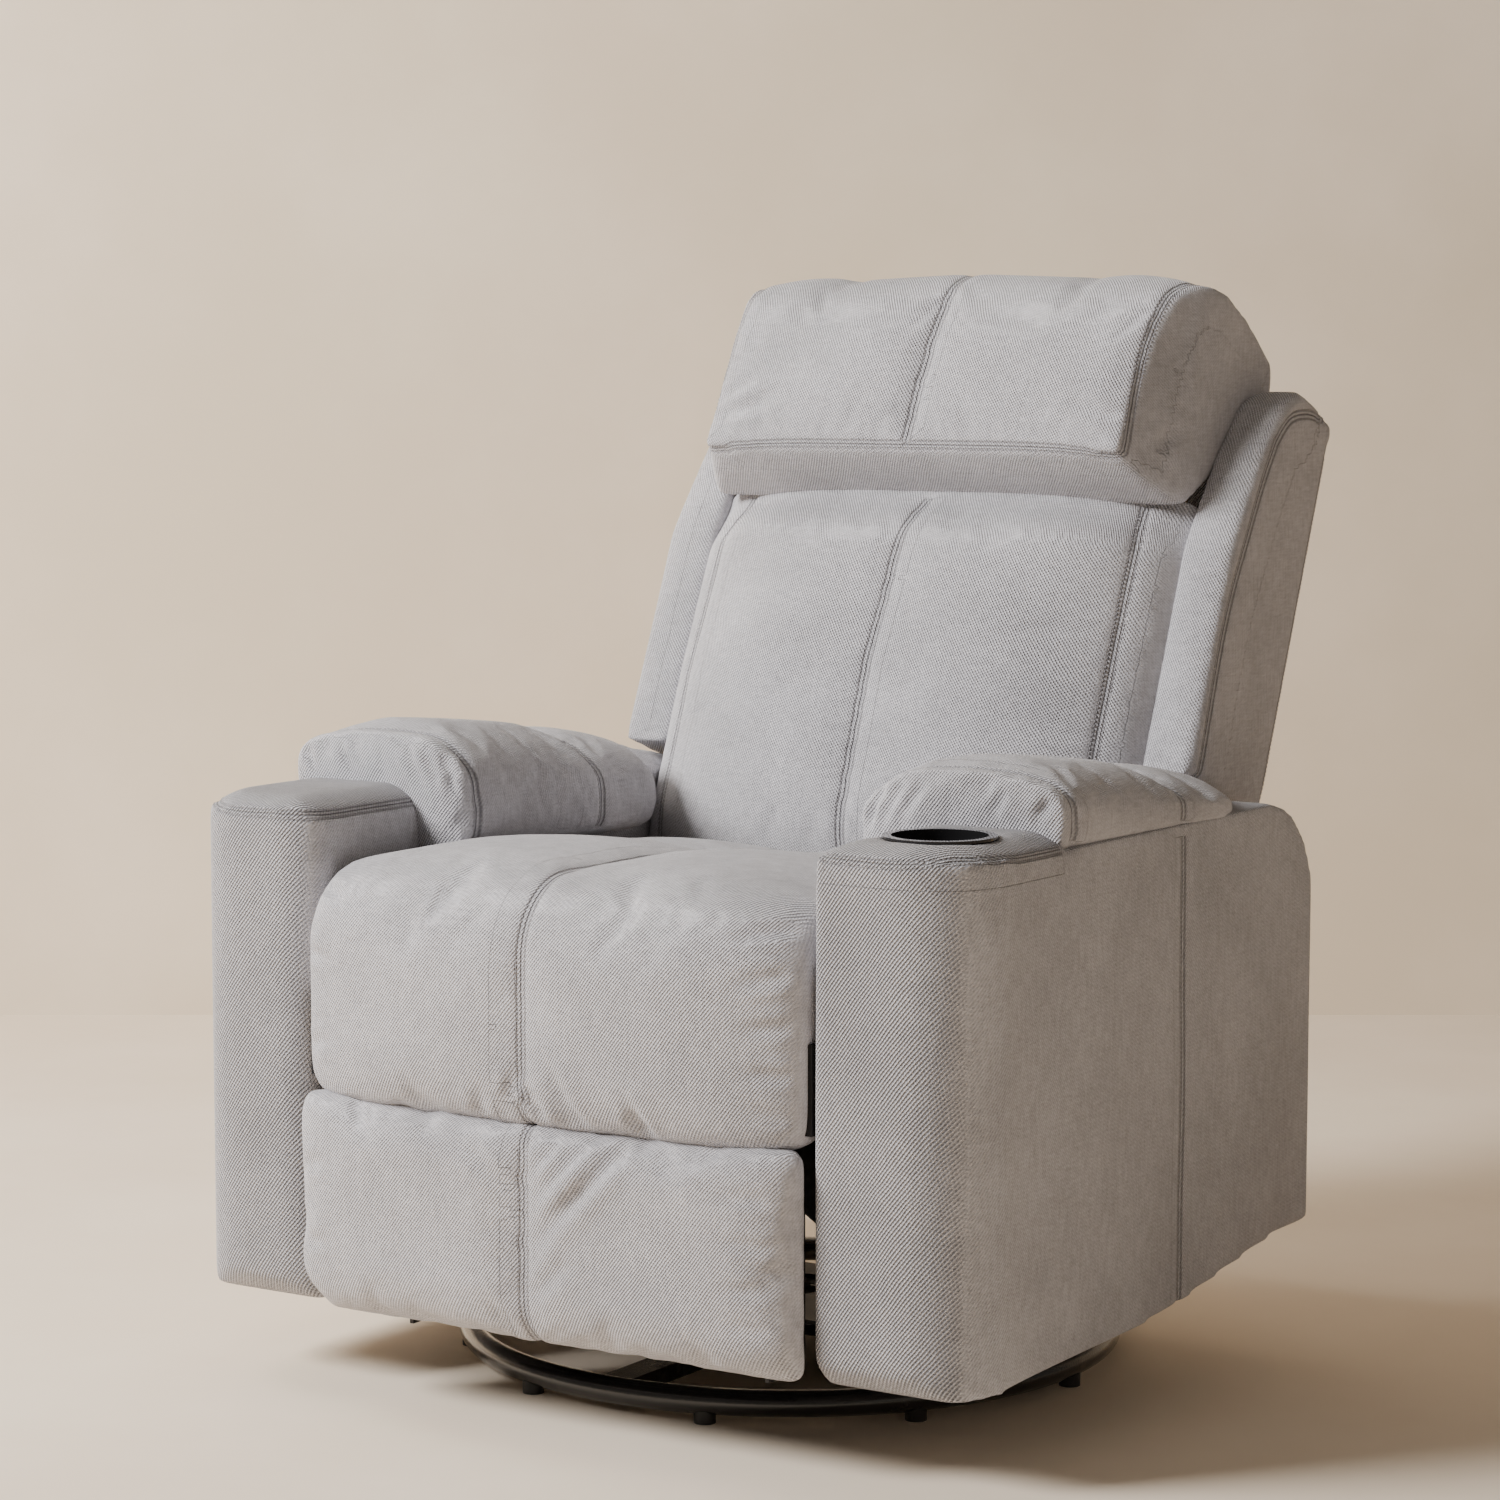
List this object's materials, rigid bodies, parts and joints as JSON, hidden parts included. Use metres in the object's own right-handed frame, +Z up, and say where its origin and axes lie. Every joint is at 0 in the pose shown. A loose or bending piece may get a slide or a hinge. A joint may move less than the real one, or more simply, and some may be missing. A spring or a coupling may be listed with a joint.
{
  "type": "glider nursery chair",
  "caption": "Upholstered swivel-glider recliner with winged back, headrest pillow, padded arms, fold-out footrest, cup holder and round floor ring.",
  "frame": {"origin": "on the floor under the middle of the chair's overall box", "axes": "+Z up, the sitter faces -Y, +X to the sitter's left where the cup holder is"},
  "size_m": [0.86, 0.9586, 1.0417],
  "materials": {
    "upholstery": "light warm grey chenille twill",
    "ring_black": "gloss black powder coat",
    "foot_plastic": "satin black",
    "mechanism_steel": "satin dark grey",
    "bearing_steel": "plain",
    "plywood": "raw birch plywood",
    "cup_plastic": "gloss black",
    "webbing": "dark woven webbing"
  },
  "bodies": {
    "base": {"base_ring": "ring_black", "base_feet": "foot_plastic", "base_spokes": "ring_black", "base_hub": "ring_black", "lower_race": "bearing_steel"},
    "carriage": {"bearing_balls": "bearing_steel", "upper_race": "bearing_steel", "swivel_plate": "mechanism_steel", "deck_screws": "bearing_steel", "carriage_side_left": "mechanism_steel", "carriage_side_right": "mechanism_steel", "carriage_pivot_pins": "bearing_steel"},
    "front_glide_links": {"glide_link_front_left": "mechanism_steel", "glide_link_front_right": "mechanism_steel"},
    "rear_glide_links": {"glide_link_rear_left": "mechanism_steel", "glide_link_rear_right": "mechanism_steel"},
    "lift_bars": {"lift_bar_left": "mechanism_steel", "lift_bar_right": "mechanism_steel"},
    "slide_bars": {"slide_bar_left": "mechanism_steel", "slide_bar_right": "mechanism_steel"},
    "brace_bars": {"brace_bars": "mechanism_steel"},
    "footrest": {"footrest_arm_left": "mechanism_steel", "footrest_arm_right": "mechanism_steel", "footrest_board": "plywood", "footrest_pad": "upholstery"},
    "back": {"recline_brackets": "mechanism_steel", "back_posts": "plywood", "back_rails": "plywood", "back_springs": "bearing_steel", "back_cushion": "upholstery", "headrest": "upholstery", "wing_left": "upholstery", "wing_right": "upholstery", "back_rear_panel": "upholstery", "back_lower_flap": "upholstery"},
    "release_tab": {"release_tab": "webbing"},
    "chair": {"arm_cap_left": "upholstery", "arm_cap_right": "upholstery", "arm_frame_left": "plywood", "arm_frame_right": "plywood", "arm_front_left": "upholstery", "arm_front_right": "upholstery", "arm_inner_panel_left": "upholstery", "arm_inner_panel_right": "upholstery", "arm_outer_panel_left": "upholstery", "arm_outer_panel_right": "upholstery", "arm_pad_left": "upholstery", "arm_pad_right": "upholstery", "arm_rear_strips": "upholstery", "cross_tubes": "mechanism_steel", "cup_holder": "cup_plastic", "mechanism_plate_left": "mechanism_steel", "mechanism_plate_right": "mechanism_steel", "rail_brackets": "mechanism_steel", "rear_skirt": "upholstery", "seat_cross_rails": "plywood", "seat_cushion": "upholstery", "seat_pivot_pins": "bearing_steel", "seat_side_rails": "plywood", "seat_springs": "bearing_steel"}
  },
  "joints": [
    {"name": "swivel", "type": "hinge", "parent": "base", "child": "carriage", "pos_m": [0, -0.034, 0], "axis": [0, 0, 1], "continuous": true},
    {"name": "glide", "type": "hinge", "parent": "carriage", "child": "front_glide_links", "pos_m": [0, -0.134, 0.275], "axis": [1, 0, 0], "range_deg": [-15, 15]},
    {"name": "glide_rear", "type": "hinge", "parent": "carriage", "child": "rear_glide_links", "pos_m": [0, 0.036, 0.275], "axis": [1, 0, 0], "range_deg": [-15, 15]},
    {"name": "glide_seat", "type": "hinge", "parent": "front_glide_links", "child": "chair", "pos_m": [0, -0.134, 0.125], "axis": [1, 0, 0], "range_deg": [-15, 15]},
    {"name": "recline", "type": "hinge", "parent": "chair", "child": "back", "pos_m": [0, 0.059, 0.39], "axis": [-1, 0, 0], "range_deg": [0, 35]},
    {"name": "footrest_lift", "type": "hinge", "parent": "chair", "child": "lift_bars", "pos_m": [0, -0.366, 0.266], "axis": [-1, 0, 0], "range_deg": [0, 76]},
    {"name": "footrest_slide_bars", "type": "hinge", "parent": "lift_bars", "child": "slide_bars", "pos_m": [0, -0.37727, 0.17419], "axis": [-1, 0, 0], "range_deg": [-152, 0]},
    {"name": "footrest_brace_bars", "type": "hinge", "parent": "lift_bars", "child": "brace_bars", "pos_m": [0, -0.38855, 0.08238], "axis": [-1, 0, 0], "range_deg": [-152, 0]},
    {"name": "footrest_turn", "type": "hinge", "parent": "slide_bars", "child": "footrest", "pos_m": [0, -0.38855, 0.266], "axis": [-1, 0, 0], "range_deg": [0, 152]},
    {"name": "release_pull", "type": "slide", "parent": "chair", "child": "release_tab", "axis": [0, 0, 1], "range_m": [0, 0.025], "stiffness_N_per_m": 400}
  ],
  "couplings": [
    {"joint": "glide_rear", "follows": "glide", "ratio": 1},
    {"joint": "glide_seat", "follows": "glide", "ratio": -1},
    {"joint": "footrest_slide_bars", "follows": "footrest_lift", "ratio": -2},
    {"joint": "footrest_brace_bars", "follows": "footrest_lift", "ratio": -2},
    {"joint": "footrest_turn", "follows": "footrest_lift", "ratio": 2}
  ]
}
